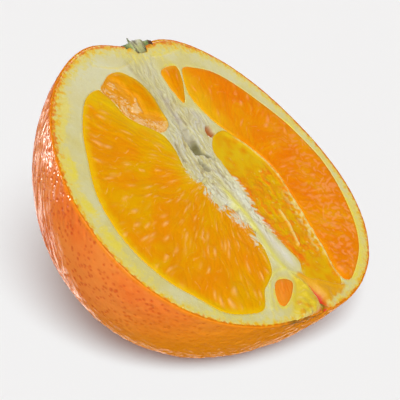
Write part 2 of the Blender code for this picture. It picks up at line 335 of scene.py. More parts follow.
# Borders on the face, each with only the points that its shape needs
borders = {
    "leftPulp": [(-18.7, 27.2), (-23.6, 25.1), (-28.9, 18.5), (-32.7, 11), (-36, 2.6), (-36.6, -5.5), (-35.3, -12.4),
        (-32.3, -19.1), (-27.5, -25), (-23.2, -29.7), (-17, -32), (-12.6, -32.2), (-9.3, -28.6), (-7, -27.4),
        (-4, -25.4), (-2.2, -21.8), (-1.5, -16.5), (-1.6, -12.4), (-3.1, -9.2), (-5.6, -5.6), (-6.8, -0.6),
        (-8.7, 3.6), (-8, 8.7), (-8.6, 12.6), (-10.9, 15), (-13.7, 17.3), (-15.5, 19.6), (-16.3, 23.2),
        (-17.3, 25.6)],
    "rightPulp": [(10.5, 28.9), (14.8, 28.1), (19, 26.2), (23, 22.3), (27.3, 16), (31.5, 8.3), (34.2, -0.4),
        (34.8, -5.6), (33.8, -13.2), (31, -21.4), (26.4, -27.8), (19.5, -32.6), (16.2, -33.4), (14.6, -30.8),
        (15.7, -24.2), (16.3, -18.3), (17.1, -11), (17.2, -2.6), (15.1, 3.3), (11.6, 8.4), (8.7, 13), (7.2, 17),
        (6.6, 21), (8, 25.4)],
    "topPulp": [(3, 29), (5.7, 29.9), (8.8, 29.5), (8, 25.9), (6, 22.4), (4.2, 19.8), (3.1, 19.7), (2.5, 23.5),
        (2.4, 27)],
    "navelPulp": [(-3.8, -27.3), (-1.5, -27.7), (-0.2, -29), (-1.6, -30.8), (-4.3, -32.6), (-6.9, -33.4),
        (-8, -32.2), (-7.2, -30), (-5.6, -28)],
    "film": [(5.1, 9.3), (9.2, 10.6), (11.8, 8.9), (15.4, 3.6), (17.5, -2.6), (17.4, -11), (16.6, -18.3),
        (16, -24.2), (14.9, -30.6), (13.4, -33.9), (8, -31.4), (4.1, -28.8), (5.6, -25.2), (4.6, -21.6),
        (3.6, -17.6), (2.4, -13.6), (2.6, -8.8), (3.2, -4.4), (2.4, -1.6), (2.9, 1.6), (2.4, 5.8)],
    "torn": [(-12.9, 30.1), (-9.6, 30.5), (-7.6, 29.3), (-5.6, 27), (-4.5, 23), (-4.8, 18.6), (-5.2, 15.2),
        (-8.2, 13.4), (-10.9, 14.8), (-13.6, 17.1), (-15.4, 19.4), (-16.2, 23.2), (-17.8, 25.8), (-17, 27.6),
        (-15.4, 28.6)],
}
borders = {name: smoothLine(points) for name, points in borders.items()}

coreMiddle = smoothLine([(-0.3, 37), (-0.4, 29.1), (-1.2, 21.7), (-1.1, 15.4), (-1.6, 8.7), (-2.4, 3.1),
    (-1.3, -4.2), (-0.6, -10.5), (-0.2, -17.8), (0.4, -22.6), (0.6, -26.8)], closed=False)
coreOrder = np.argsort(coreMiddle[:, 1])


def coreOffset(x, y):  # across from the middle of the core
    return x - np.interp(y, coreMiddle[coreOrder, 1], coreMiddle[coreOrder, 0])


# The fold of skin at the navel: steep beside the lobe, then a slow rise to the right
fold = {"line": smoothLine([(2.6, -28.6), (3.5, -30.8), (3.9, -33.2), (3.8, -35.2), (3, -37), (1.6, -38.2),
    (-1.5, -39.4)], closed=False), "opens": (28.6, 34.5), "slope": 3}


def foldDepth(x, y):
    line = fold["line"][::-1]
    across = x - np.interp(y, line[:, 1], line[:, 0])
    opened = ease(-y, *fold["opens"])
    return across, opened, opened * within(across, -0.35, 0.05, 0.2, fold["slope"])


# Where the white of the core frays over the pulp beside it
fraying = {"width": (5.5, 8.5), "down": (-6, -1, 13, 22), "broad": 3, "fine": 1.5, "finest": 0.22, "lessOnRight": 0.8}


def besideCore(x, y):
    return (1 - ease(np.abs(coreOffset(x, y)), *fraying["width"])) * within(-y, *fraying["down"])


def tufts(x, y):  # how far the white reaches over the edge of the pulp
    wild = softNoise(x / 2.2, y / 1.8, 45) + fraying["finest"] * softNoise(x / 1.1, y / 0.9, 46)
    reach = fraying["fine"] * wild + fraying["broad"] * softNoise(x / 4, y / 3.4, 63)
    return besideCore(x, y) * reach * (1 - fraying["lessOnRight"] * (coreOffset(x, y) > 0))


# Peel
peelShape = {"fineness": 156, "wavy": 0.20, "pebble": 0.12, "pit": 0.10, "pitSpacing": 1.6, "streak": 0.10,
             "drawn": 0.80, "seen": (-0.72, -0.15, 0.67), "stemCrease": 0.16, "navelCrease": 1.2,
             "navelMiddle": -2.6, "navelRadius": 6.6, "rimDrop": 0.30, "wall": 3, "wallDepth": 36, "wallSteps": 14,
             "rim": [(0.04, -0.15), (0.14, -0.04), (0.3, 0), (0.5, -0.05), (0.75, -0.16), (1.1, -0.45), (1.6, -0.9)],
             }  # the rim has the inset and the level of each ring of the cut edge
# below is painted light: the side of the peel that faces the floor is made brighter and yellower
peelLook = {"skin": (237, 121, 44), "skinDeep": (230, 102, 32), "skinLight": (239, 143, 62), "pore": (208, 70, 22),
            "below": (232, 141, 4), "rimTone": (234, 134, 12), "scar": (112, 84, 30)}
zestLook = {"line": (214, 118, 10), "outer": (222, 172, 24), "inner": (214, 196, 102), "gland": (226, 140, 24),
            "glint": (240, 218, 140)}


def zestTone(bench, base, dashes=False):  # the cut edge of the peel: a dark line, ragged yellow, then the pith
    look = tints(zestLook)
    inset = bench.layer("inset")
    ragged = bench.plus(inset, bench.vary(0.85, -0.9, 0.9, roughness=0.6))
    tone = bench.blend(bench.spread(ragged, 0.9, 2.6), look["inner"], base)
    tone = bench.blend(bench.spread(ragged, 0.1, 1.3), look["outer"], tone)
    if dashes:
        glands = bench.spread(bench.strands((1.5, 1.1, 1)), 0.55, 0.67)
        glands = bench.times(glands, bench.spread(inset, 1.7, 0.6))
        glints = bench.spread(bench.strands((1.6, 0.9, 5)), 0.62, 0.74)
        glints = bench.times(glints, bench.spread(inset, 2.2, 0.8))
        tone = bench.paint(tone, (bench.times(glands, 0.75), look["gland"]), (bench.times(glints, 0.7), look["glint"]))
    edge = bench.plus(inset, bench.vary(1.1, -0.3, 0.3))
    return bench.paint(tone, (bench.spread(edge, 0.75, 0.28), look["line"]))


def peelMaterial():
    bench = NodeBench("orange_peel")
    look = tints(peelLook)
    grain, polish, edge = bench.layer("grain", vector=True), bench.layer("polish"), bench.layer("edge")
    patches, specks, glands = bench.noise(0.06, detail=4), bench.noise(0.9, detail=2), bench.voronoi(0.84)
    crowd = bench.spread(bench.noise(0.16), 0.35, 0.62, 0.14, 0)
    pores = bench.plus(bench.plus(glands, bench.spread(specks, 0.4, 0.6, 0.16, 0)), crowd)
    skinTone = bench.blend(bench.spread(patches, 0.35, 0.65), look["skinDeep"], look["skinLight"])
    # The low layer lays the painted floor light of below on the underside
    skinTone = bench.paint(skinTone, (0.5, look["skin"]), (bench.spread(pores, 0.62, 0.22, 0, 0.72), look["pore"]),
                           (bench.spread(specks, 0.5, 0.7, 0, 0.3), look["skinLight"]), ("low", look["below"]),
                           (bench.spread(edge, 0.3, 1, 0, 0.6), look["rimTone"]))
    zest = zestTone(bench, tint(*pithLook["cream"]))
    colour = bench.paint(skinTone, (bench.spread(bench.layer("inset"), 0.05, 0.2), zest), ("scar", look["scar"]))
    height = bench.plus(bench.spread(glands, 0, 0.45), bench.noise(0.8, detail=2))
    streaks = bench.times(bench.noise(0.75, detail=2, place=grain), bench.layer("drawn"))
    broken = bench.noise(0.95, detail=2, roughness=0.6, place=grain)
    broken = bench.spread(broken, 0.44, 0.60, 0.10, bench.spread(polish, 0.4, 1, 2.1, 0.8))
    broken = bench.times(broken, bench.spread(edge, 0, 1, 1, 0.15))
    turned = (bench.spread(polish, 0, 1, 0.76, 0.36), bench.spread(polish, 0, 1, 0.97, 0.66))
    return bench.finish(Base_Color=colour, Roughness=bench.vary(0.5, 0.16, 0.27, detail=4),
                        Normal=bench.bump(height, 0.35, 0.0003, Normal=bench.bump(streaks, 1, 0.0004)),
                        gloss={"tint": (1, 0.94, 0.86, 1), "front": 0.008, "from": 0.45, "edge": 0.44,
                               "broken": broken, "turned": turned}, soft=(0.1, 0.0008, (1, 0.35, 0.1)))


def navelRing(x, y, z):  # the crease round the navel, which fades away behind
    fromMiddle = x - peelShape["navelMiddle"]
    away = np.hypot(fromMiddle, 2.2 * z) - peelShape["navelRadius"]
    turned = np.abs(np.arctan2(-z, fromMiddle))
    return bell(away, 0.6) * (y < 0) * (1 - ease(turned, 1.4, 2.6))


def buildPeel():
    shape = peelShape
    count = shape["fineness"]
    bm = bmesh.new()
    bmesh.ops.create_cube(bm, size=2)
    bmesh.ops.subdivide_edges(bm, edges=bm.edges[:], cuts=count - 1, use_grid_fill=True)
    bmesh.ops.delete(bm, geom=[vert for vert in bm.verts if vert.co.z > 0.5 / count], context="VERTS")
    places = np.tan(np.array([vert.co for vert in bm.verts]) * pi / 4)
    ways = places / np.linalg.norm(places, axis=1)[:, None]
    reach = skinReach(ways[:, 0], ways[:, 1])
    points = ways * reach[:, None]
    x, y, z = points.T
    up, left = ways @ floorUp, ways @ toLeft
    drawn = points - shape["drawn"] * (points @ floorUp)[:, None] * floorUp
    under = 0.12 + 0.88 * np.maximum(1 - ease(ways @ shape["seen"], 0.12, 0.55), ease(up, -0.2, 0.1))
    smoother = 1 - 0.65 * ease(left, 0.35, 0.8)
    relief = shape["wavy"] * softNoise(x / 7, y / 7, z / 7)
    relief += smoother * shape["pebble"] * softNoise(x / 1.7, y / 1.7, z / 1.7)
    relief += shape["streak"] * under * softNoise(*drawn.T / 0.9)
    pits = np.array([noise.voronoi(point)[0][0] for point in (points / shape["pitSpacing"]).tolist()])
    relief = (relief - smoother * shape["pit"] * bell(pits, 0.38)) * (0.35 + 0.65 * ease(-z, 0, 1.5))
    fromStem = np.arccos(np.clip(ways[:, 1], -1, 1))
    creases = np.cos(np.arctan2(z, x) * 11 + 3 * softNoise(x / 9, y / 9, z / 9))
    crease = navelRing(x, y, z)
    relief += shape["stemCrease"] * creases * bell(fromStem - 0.22, 0.12) - shape["navelCrease"] * crease
    points = ways * (reach + relief)[:, None]
    points[:, 2] = points[:, 2] * skin["halfDepth"] - shape["rimDrop"] * np.exp(points[:, 2] / 1.5)
    points -= np.minimum(heightAbove(points), 0)[:, None] * floorUp
    for vert, point in zip(bm.verts, points.tolist()):
        vert.co = point
    scar = bell(z + 0.8 + 0.6 * softNoise(x / 2, y / 2), 0.8) * within(x, -12, -8, 2.5, 4.5)
    scar *= (y < -30) * ease(softNoise(x / 1.3, y / 1.3, z / 0.6), -0.35, 0.15)
    # low: the side facing the floor, which gets painted light
    setLayers(bm, inset=np.zeros(len(x)), scar=0.8 * crease + 1.1 * scar,
              polish=np.maximum(ease(up, -0.2, 0.15), 0.6 * ease(left, 0.5, 0.85)), drawn=under,
              low=0.85 * ease(-up - 0.25 * left, 0.2, 0.68), edge=ease(points[:, 2], -1.5, -0.4))
    setGrain(bm, *drawn.T)

    # Rings run from the skin over the cut edge, and then inside as a wall
    insetLayer = bm.verts.layers.float["inset"]
    ring = openEdges(bm)
    ends = {vert: (vert.co.copy(), Vector((vert.co.x, vert.co.y, 0)).normalized())
            for edge in ring for vert in edge.verts}
    wallSteps = [(None, (i + 1) / shape["wallSteps"] * pi / 2) for i in range(shape["wallSteps"])]
    for inset, level in shape["rim"] + wallSteps:
        _, ring = extrude(bm, ring)
        fresh = {}
        for vert in [vert for edge in ring for vert in edge.verts]:
            if vert not in fresh:
                old = next(e.other_vert(vert) for e in vert.link_edges if e.other_vert(vert) in ends)
                fresh[vert] = ends[old]
        for vert, (start, way) in fresh.items():
            vert[insetLayer] = shape["wall"] if inset is None else inset
            if inset is None:
                inner = start.length - shape["wall"]
                flat = way * inner * cos(level)
                depth = min(inner, shape["wallDepth"]) * sin(level) * skin["halfDepth"] + 0.3
                vert.co = (flat.x, flat.y, -depth)
            else:
                vert.co = start - way * inset
                vert.co.z = level
        ring = [edge for edge in ring if edge.verts[0] in fresh and edge.verts[1] in fresh and edge.is_boundary]
        ends = fresh
    bmesh.ops.remove_doubles(bm, verts=list(ends), dist=0.5)
    addPiece("peel", bm, peelMaterial())


# Pith: the pale ground of the cut face, with the core, its hollows and the navel
pithShape = {"step": 0.30, "coreStep": 0.16, "edge": 0.15, "pocket": 1.7, "tornPocket": 2.4, "bottom": -7,
             "grainHeight": 0.05, "swell": 0.12, "channel": 0.35, "fibre": 0.34, "ridge": 0.2, "dome": 0.9,
             "crevice": 1.9, "foldRise": 0.25, "hollow": 1.5, "hole": 2, "groove": 0.6, "fluff": 0.22, "fork": 0.25,
             "wrinkle": 0.15, "coreTuck": 0.7, "pithTuck": 1.2}
# Painted shade in this look: lilac, hollow, deep, and the dark tone of the core's fibre valleys, which also colours
# one real brown mark
pithLook = {"cream": (205, 195, 144), "creamDeep": (203, 188, 119), "yellow": (220, 198, 70), "white": (213, 208, 186),
            "grey": (214, 206, 186), "lilac": (192, 180, 172), "shadeAndMark": (158, 140, 100), "hollow": (172, 160, 132),
            "deep": (112, 102, 62), "hole": (166, 84, 24), "ridge": (216, 204, 84), "lobe": (212, 180, 34),
            "patch": (214, 150, 2), "red": (204, 40, 4)}
coreForms = {
    "left": [(-6.6, 33.5), (-5.4, 29.1), (-4.4, 24), (-4.9, 18.3), (-6.5, 14), (-8.6, 8.5), (-7.9, 3), (-6.4, -3.6),
        (-4.4, -9.5), (-2, -13), (-2.2, -19.3), (-3.4, -25.2)],
    "right": [(4.4, 33.5), (2.2, 29.5), (1.8, 25), (3, 19.3), (6.2, 16), (7.6, 12.4), (4.4, 8.4), (2.3, 3.5),
        (2.2, -5.1), (2.6, -12.2), (4.9, -20.2), (6, -26.7)],
    "ridge": [(-1.5, -1), (-1.5, -4.5), (-1.2, -8), (-0.4, -11.5), (-0.4, -15.6), (-0.7, -20.6), (-0.1, -25)],
    "band": [(0.9, -11.6), (1.2, -15.2), (2, -18.6), (2.8, -22.3), (3.4, -25.8)],
    "groove": [(-0.5, 22.5), (-0.7, 18.6), (-1, 15.2)],
    "gap": [(-6.5, 9.8), (-7, 7.6), (-7.1, 5.4)],
    "rightFold": [(4.6, -38.6), (6.4, -37.4), (7.3, -35.8), (7.8, -33.8)],
    "flush": [(2, -9.6), (3.7, -12.5), (4.8, -16.7), (6.1, -20.5), (7.2, -24.3), (7.9, -26.4)],
    "mark": [(-1, -36.9), (-0.5, -37.6)],
    "cleft": [(3.6, -29.6), (4.3, -31.4), (4.8, -33.5), (4.7, -35.2), (4, -36.8), (2.2, -38), (-1.2, -38.8)],
}
coreForms = {name: smoothLine(points, closed=False, steps=4) for name, points in coreForms.items()}
coreHoles = {
    "hollow": [(-2.7, 12.6), (-3.1, 10.2), (-3.1, 7.2), (-2.4, 6), (-0.8, 5.8), (-0.2, 4.8), (0.9, 3.9), (1.9, 4.1),
        (0.6, 5.3), (-0.2, 6.7), (-0.2, 9.3), (0.2, 11.4), (0, 13.6), (-0.6, 15.2), (-1.8, 14.6)],
    "lowerHollow": [(-2.9, 5), (-3.5, 3.8), (-3.1, 2.4), (-2.6, 1.5), (-1.8, 1.4), (-1.3, 2.2), (-1.9, 3.8),
        (-2.3, 4.7)],
    "hole": [(5.5, 12.3), (4.7, 11.3), (4.5, 10.2), (5.1, 9.6), (6.1, 9.9), (6.5, 11), (6.2, 12)],
    "lobe": [(1.2, -28.4), (2.8, -29.4), (3.5, -31.4), (3.7, -33.8), (3.2, -35.8), (1.8, -37.4), (-1.2, -38),
        (-4.6, -38.2), (-6.7, -37.4), (-5.4, -35.6), (-3.6, -33.6), (-1, -31.4), (0.3, -29.8)],
    "wedge": [(2.6, -28), (4.6, -28.6), (7.6, -30.4), (11, -32.3), (14, -33.8), (11.6, -35.2), (8.2, -35.4),
        (6.4, -36.6), (4.4, -37.9), (4.6, -35.4), (4.7, -32.8), (4, -30.2)],
}
coreHoles = {name: smoothLine(points, steps=4) for name, points in coreHoles.items()}
coreZone = smoothLine([(-5.4, 34.6), (-4.9, 30), (-3.8, 24), (-4.2, 18), (-6, 14), (-9.4, 9), (-8.8, 2), (-7, -4),
    (-5.2, -10), (-2.6, -14), (-2.8, -20), (-6.6, -26), (-11, -33), (-10, -38.6), (0, -39.4), (9, -38.4),
    (14, -34.6), (7, -27), (5.6, -20), (3.4, -12), (3, -2), (5, 7), (8.4, 12), (6.8, 17), (3.4, 20), (1.6, 25),
    (2, 30), (3.6, 34)], steps=3)
forks = [[(0.2, -25.6), (-2.6, -25.4), (-5.8, -26.4), (-8.4, -29.4), (-10.6, -32.4)],
         [(0.8, -26.6), (4.1, -28.6), (8, -31.3), (12.2, -33.6), (14.6, -34.6)],
         [(0.8, -27), (1.5, -29), (1.8, -31.6)]]
wrinkles = [[(-2.2, 34), (-2.6, 31), (-2.2, 28), (-2.6, 24.5)], [(1.2, 34), (0.6, 30.5), (0.4, 27.4)],
            [(-3.2, 33), (-9, 31.6), (-15.5, 33.4)], [(3.5, 33.4), (8, 33.4), (12, 34.4)]]
forks, wrinkles = [[smoothLine(points, closed=False, steps=4) for points in group] for group in (forks, wrinkles)]


def pithMaterial():
    bench = NodeBench("orange_pith")
    look = tints(pithLook)
    broad, fine = bench.noise(0.16, detail=4), bench.noise(1.3, detail=4, roughness=0.6)
    radial = bench.strands((0.9, 0.3, 1), detail=4, roughness=0.6)
    patchy = bench.times(bench.math("SUBTRACT", bench.plus(fine, radial), 1), 1.3)
    patchy = bench.plus(bench.layer("yellow"), patchy)
    colour = bench.blend(bench.spread(broad, 0.38, 0.62), look["cream"], look["creamDeep"])
    colour = bench.paint(colour, (bench.spread(patchy, 0.15, 0.95), look["yellow"]),
                         (bench.spread(fine, 0.55, 0.75, 0, 0.35), look["white"]))
    # lilac, hollow, deep and the dark fibre tone are painted shade
    for name in ("white", "grey", "lilac", "ridge", "lobe", "patch", "shadeAndMark", "hollow", "deep", "hole"):
        colour = bench.paint(colour, (name, look[name]))
    colour = bench.paint(zestTone(bench, colour, dashes=True), ("red", look["red"]))
    height = bench.plus(bench.noise(1.1, detail=5, roughness=0.6), bench.noise(4, detail=2))
    return bench.finish(Base_Color=colour, Roughness=bench.vary(0.7, 0.42, 0.62),
                        Normal=bench.bump(height, 0.4, 0.0002),
                        gloss={"tint": (1, 0.94, 0.8, 1), "front": 0.03, "edge": 0.2},
                        soft=(0.15, 0.0008, (1, 0.7, 0.3)))


def fibres(x, y):  # crests of the fibres that run along the core, from -0.5 to 1
    across = coreOffset(x, y) + 1.3 * softNoise(x / 3, y / 5, 5) + 0.3 * softNoise(x / 0.8, y / 1.5, 6)
    coarse = 1 - 2.6 * np.abs(softNoise(across * 0.75, y / 6, 7))
    fine = 1 - 2.6 * np.abs(softNoise(across * 2.1, y / 2.6, 9))
    return np.maximum(0.5 * coarse + 0.5 * fine, -0.5)


def faceForm(x, y):  # height of the pith, and the masks that colour it
    shape = pithShape
    inset = rindInset(x, y)
    offset, beside = np.abs(coreOffset(x, y)), besideCore(x, y)
    gaps = {name: insideBy(x, y, outline) for name, outline in borders.items()}
    pulp = np.maximum.reduce([gap for name, gap in gaps.items() if name != "torn"]) - tufts(x, y)
    broad = softNoise(x / 7, y / 7, 3)
    z = (shape["grainHeight"] * softNoise(x / 1.1, y / 1.1) + shape["swell"] * broad) * ease(inset, 0.6, 2.6)

    # The core: fibres, white fluff, ridges and forks
    leftX, rightX = [np.interp(y, coreForms[side][::-1, 1], coreForms[side][::-1, 0]) for side in ("left", "right")]
    across = (x - leftX) / (rightX - leftX)
    inCore = within(across, -0.1, 0.12, 0.88, 1.1) * within(y, -28, -24, 29, 35)
    upper, low = ease(y, -9, 1), 1 - ease(y, -5, 0)
    strands = fibres(x, y)
    fluff = beside * bell(offset - 2.4, 1.8)
    z += shape["fluff"] * fluff * (softNoise(x / 0.8, y / 1.4, 57) + 0.5 * softNoise(x / 0.4, y / 0.6, 58))
    fibrous = shape["fibre"] * (strands - 0.5) - shape["channel"] * (1 - abs(across - 0.5))
    z += inCore * (0.15 + 0.85 * upper) * fibrous
    away = {name: nearLine(x, y, line)[0] for name, line in coreForms.items()}
    fork = np.maximum.reduce([bell(nearLine(x, y, line)[0], 0.55) for line in forks])
    crease = np.maximum.reduce([bell(nearLine(x, y, line)[0], 0.4) for line in wrinkles])
    z += shape["ridge"] * bell(away["ridge"], 1.2) * low + shape["fork"] * fork - shape["wrinkle"] * crease

    rough = 0.45 * softNoise(x / 0.9, y / 1.3, 11)
    holes = {name: insideBy(x + rough, y + rough, outline) for name, outline in coreHoles.items()}
    hollow = np.maximum(holes["hollow"], holes["lowerHollow"])
    z -= shape["hollow"] * ease(hollow, -0.3, 1) + shape["hole"] * ease(holes["hole"], -0.5, 0.6)
    z -= shape["groove"] * (bell(away["groove"], 0.8) + bell(away["gap"], 0.45))

    # The navel: a lobe, a wedge and the fold between them
    past, opened, split = foldDepth(x, y)
    z += shape["dome"] * ease(holes["lobe"], -0.1, 1.8) * (1 - ease(past, -0.4, 0))
    z += 0.25 * ease(holes["lobe"], 0, 1) * softNoise(x / 1.5, y / 1.5, 60)
    z += shape["foldRise"] * bell(away["rightFold"], 0.8) + 0.2 * ease(holes["wedge"], -0.2, 1.2)
    z -= shape["crevice"] * split * (1 - 0.5 * ease(-y, 35, 38))
    z -= shape["pocket"] * ease(pulp, 0.08, 0.6) + shape["tornPocket"] * ease(gaps["torn"], 0.08, 0.6)
    z -= 0.25 * (1 - ease(inset, shape["edge"], 0.6))

    nearPulp = bell(np.maximum(-np.maximum(pulp, gaps["torn"]), 0), 0.6)
    drift = (0.45 * nearPulp + 0.35 * ease(broad, 0.15, 0.45)) * (1 - beside)
    leftRim = ease(-x, 8, 26) * (1 - ease(inset, 2.4, 5)) * (0.5 + 1.2 * broad) * (1 - 0.9 * ease(-y, 12, 24))
    rightRim = 0.85 * ease(x, 14, 24) * ease(-y, 8, 20) * (0.8 + broad)
    crests = ease(strands, 0.35, 0.8) * inCore * (0.3 + 0.7 * upper) * (1 - 0.6 * ease(y, 13, 21))
    fringe = 0.9 * bell(offset - 2.6, 2.2) * within(-y, 0, 4, 11, 14)
    lobeSpots = 0.8 * ease(holes["lobe"], -0.3, 0.8) * ease(softNoise(x / 1.5, y / 1.5, 17) + 0.08 * (-35 - y), 0, 0.3)
    wedgeTone = (1.1 + 0.5 * softNoise(x / 1.8, y / 1.8, 15)) * ease(holes["wedge"], -0.9, 0.3)
    cleftWidth = 0.35 + 0.5 * ease(-y, 31.5, 35) + 0.3 * ease(-y, 36, 37.5)
    masks = {
        "yellow": drift + leftRim + rightRim + 0.7 * crease + 0.1 * ease(-y, 26, 32) - 0.6 * inCore * upper,
        "white": 0.3 * ease(y, 18, 28) * ease(-x, 3, 8) * (1 - inCore) + np.maximum(crests, fringe),
        "grey": 0.9 * bell(away["band"], 1) * within(-y, 10, 13, 24, 27),
        # lilac: painted cool shade in the groove and beside the upper core
        "lilac": ((bell(away["groove"], 1.2) + 0.7 * bell(np.hypot(x - 4.2, y - 15), 2.4))
                  * (0.6 + softNoise(x, y / 2, 77))),
        "ridge": (0.5 * bell(away["ridge"], 0.6) + 0.3 * bell(away["ridge"], 1.2)) * low + 0.5 * fork,
        "lobe": ease(holes["lobe"], -1.6, 0.3),
        "patch": wedgeTone + 0.9 * opened * bell(past - 1.9, 1.3) + lobeSpots,
        # Painted shade between the core's fibres, in the gap and in the groove, and darker flecks in the fluff; the
        # same tone gives a real brown mark near the navel
        "shadeAndMark": ((0.32 + 0.6 * ease(-strands, -0.1, 0.4)) * inCore * upper
                  + 0.55 * fluff * ease(softNoise(x / 0.7, y / 1.2, 59), 0.12, 0.35) + 0.95 * bell(away["gap"], 0.5)
                  + 0.25 * bell(away["groove"], 0.8) + 0.8 * bell(away["mark"], 0.4)),
        # hollow and deep: the core's cavities painted darker as shade, darkest in their lower part
        "hollow": ease(hollow, -0.2, 0.5),
        "deep": (ease(hollow + 0.5 * rough, -0.3, 0.4) * ease(10.6 - y + 0.3 * x, -0.6, 2)
                 * (1 - 0.4 * ease(5.2 - y, 0, 1))),
        "hole": ease(holes["hole"], -0.6, 0.2),
        "red": 1.4 * ease(-y, 30, 33) * bell(away["cleft"], cleftWidth),
    }
    thinner = 0.2 * ease(x + 0.3 * y, 6, 26) + 0.4 * ease(y - 0.4 * x, 18, 32)
    masks["inset"] = inset * (1 - thinner) + 2 * split + 1.2 * ease(holes["lobe"], 0, 1.2)
    return z, masks


def buildPith():  # the core is a finer piece of its own, and the pith dips under it
    material, shape = pithMaterial(), pithShape
    for name, low, high, step in (("pith", (-43.2, -40.2), (39, 38.4), shape["step"]),
                                  ("core", (-12, -40), (16, 35), shape["coreStep"])):
        bm = faceGrid(low, high, step)
        x, y = flatPlaces(bm)
        zone = insideBy(x, y, coreZone)
        keep = rindInset(x, y) > shape["edge"]
        trim(bm, keep & (zone > -0.4) if name == "core" else keep)
        x, y = flatPlaces(bm)
        z, masks = faceForm(x, y)
        zone = insideBy(x, y, coreZone)
        isCore = name == "core"
        z -= shape["coreTuck"] * (1 - ease(zone, -0.4, 0.1)) if isCore else shape["pithTuck"] * ease(zone, 0.3, 1)
        setHeights(bm, z)
        setGrain(bm, np.arctan2(y, x) * 38, masks["inset"])
        setLayers(bm, **masks)
        closeBelow(bm, shape["bottom"], shrink=0.9)
        addPiece(name, bm, material)


# Pulp: each segment has its own surface of juice sacs over its pocket
pulpShape = {"step": 0.22, "over": 0.25, "sink": 0.20, "rise": 0.30, "edgeWidth": 1.5, "swell": 0.25, "swellSize": 7,
             "reach": 24, "sac": 0.10, "sacWidth": 1.7, "sacLength": 6, "drop": 0.16, "dropWidth": 1.05,
             "dropLength": 3.6, "warp": 2.2, "bottom": -5.5}
pulpSoftness = (0.2, 0.0012, (1, 0.4, 0.08))
frostTone = (214, 207, 178)  # the white of the core, where it frays over the pulp
# In each segment's colours, pale is the peach of painted highlights on the juice sacs
segments = {
    "pulp_left": {"outline": "leftPulp", "side": -1, "goal": (-2, 1), "drops": -0.02,
                  "colours": {"light": (222, 157, 2), "deep": (224, 139, 4), "edge": (222, 178, 4),
                              "pale": (244, 178, 104), "ripe": (230, 128, 6)},
                  "sunny": {"line": [(-8.6, 1.5), (-8, 8.7), (-9.2, 12.6), (-13.7, 17), (-16.4, 21.6), (-20.6, 25)],
                            "waver": 1.5, "width": 3.2, "share": 0.85}},
    "pulp_right": {"outline": "rightPulp", "side": 1, "goal": (0, -3), "drops": 0,
                   "colours": {"light": (229, 145, 6), "deep": (227, 121, 2), "edge": (226, 164, 10),
                               "pale": (244, 152, 92), "ripe": (230, 112, 6)},
                   "sunny": {"line": [(7, 27.6), (7.4, 22), (7.8, 17), (9.8, 12)], "waver": 2, "width": 3.6,
                             "share": 0.9}},
    "pulp_top": {"outline": "topPulp", "side": 1, "goal": (0, 6), "drops": -0.02,
                 "colours": {"light": (226, 136, 0), "deep": (222, 110, 0), "edge": (222, 156, 10),
                             "pale": (238, 150, 84), "ripe": (222, 100, 4)}},
    "pulp_navel": {"outline": "navelPulp", "side": -1, "goal": (2, -18), "drops": -0.05,
                   "colours": {"light": (236, 146, 46), "deep": (230, 118, 20), "edge": (228, 136, 20),
                               "pale": (242, 158, 96), "ripe": (228, 108, 8)}},
}


def pulpMaterial(name, look):
    bench = NodeBench(name)
    look = tints(look)
    streaks = bench.strands((0.7, 0.14, 1), detail=3)
    hairs = bench.strands((3, 0.35, 1), detail=3, roughness=0.6)
    strokes = bench.strands((1.05, 0.46, 1))
    mixed = bench.plus(bench.times(streaks, 0.4), bench.times(bench.noise(0.09), 0.6))
    mixed = bench.plus(mixed, bench.times(bench.layer("own"), 0.05))
    flecks = bench.spread(bench.strands((0.6, 0.6, 1), detail=4, roughness=0.65), 0.3, 0.7, -0.75, 0.75)
    frost = bench.layer("frost")
    frosted = bench.times(bench.spread(bench.plus(frost, flecks), 0.1, 0.95, 0, 0.95), bench.spread(frost, 0, 0.25))
    colour = bench.blend(bench.spread(mixed, 0.34, 0.66), look["deep"], look["light"])
    # Strokes are painted highlights; the pale layer is painted highlights on the pulps and the real cream of the
    # membranes on the film
    colour = bench.paint(colour, (bench.spread(hairs, 0.5, 0.8, 0, 0.08), look["edge"]), ("ripe", look["ripe"]),
                         (bench.spread(strokes, 0.6, 0.8, 0, 0.5), look["pale"]), ("rim", look["edge"]),
                         ("pale", look["pale"]), (frosted, tint(*frostTone)))
    height = bench.plus(bench.times(strokes, 0.9), bench.times(hairs, 0.3))
    rough = bench.plus(bench.vary(0.9, 0.30, 0.42, detail=2), bench.times(bench.layer("rim"), 0.3))
    return bench.finish(Base_Color=colour, Roughness=rough, Normal=bench.bump(height, 0.2, 0.0003),
                        gloss={"tint": (1, 0.62, 0.36, 1), "front": 0.012, "edge": 0.096}, soft=pulpSoftness)


def pulpGrid(outline, step):  # a flat grid in the outline of a segment, with the distance inside it
    bm = faceGrid(outline.min(0) - 0.6, outline.max(0) + 0.6, step)
    x, y = flatPlaces(bm)
    trim(bm, insideBy(x, y, outline) > -pulpShape["over"])
    x, y = flatPlaces(bm)
    return bm, x, y, insideBy(x, y, outline)


def edgeSink(inside, tuft, sink):  # the edge dips, and deeper where the white of the core reaches over it
    return sink * np.exp(-(inside + pulpShape["over"]) / 0.25) + 0.9 * ease(tuft - inside, -0.15, 0.25)


def sacRelief(x, y, form):  # height of the juice sacs, which point from the rind to a place in the core
    shape = pulpShape
    dx, dy = x - form["goal"][0], y - form["goal"][1]
    u, v = np.arctan2(dy, form["side"] * dx) * shape["reach"], np.hypot(dx, dy)
    u = u + 1.1 * softNoise(u / 4, v / 6, 21)
    v = v + 1.2 * softNoise(u / 3, v / 6, 23)
    _, depth, own = cells(u / shape["sacWidth"], v / shape["sacLength"])
    near, _, chosen = cells(u / shape["dropWidth"], v / shape["dropLength"], 5)
    drops = ease(chosen, form["drops"], form["drops"] + 0.1) * bell(near, 0.26)
    full = ease(np.hypot(x, y + 1), 5, 13) * (0.9 - np.exp(-depth / 0.3) + 0.8 * own)
    return shape["sac"] * full + shape["drop"] * drops, drops, own, u, v


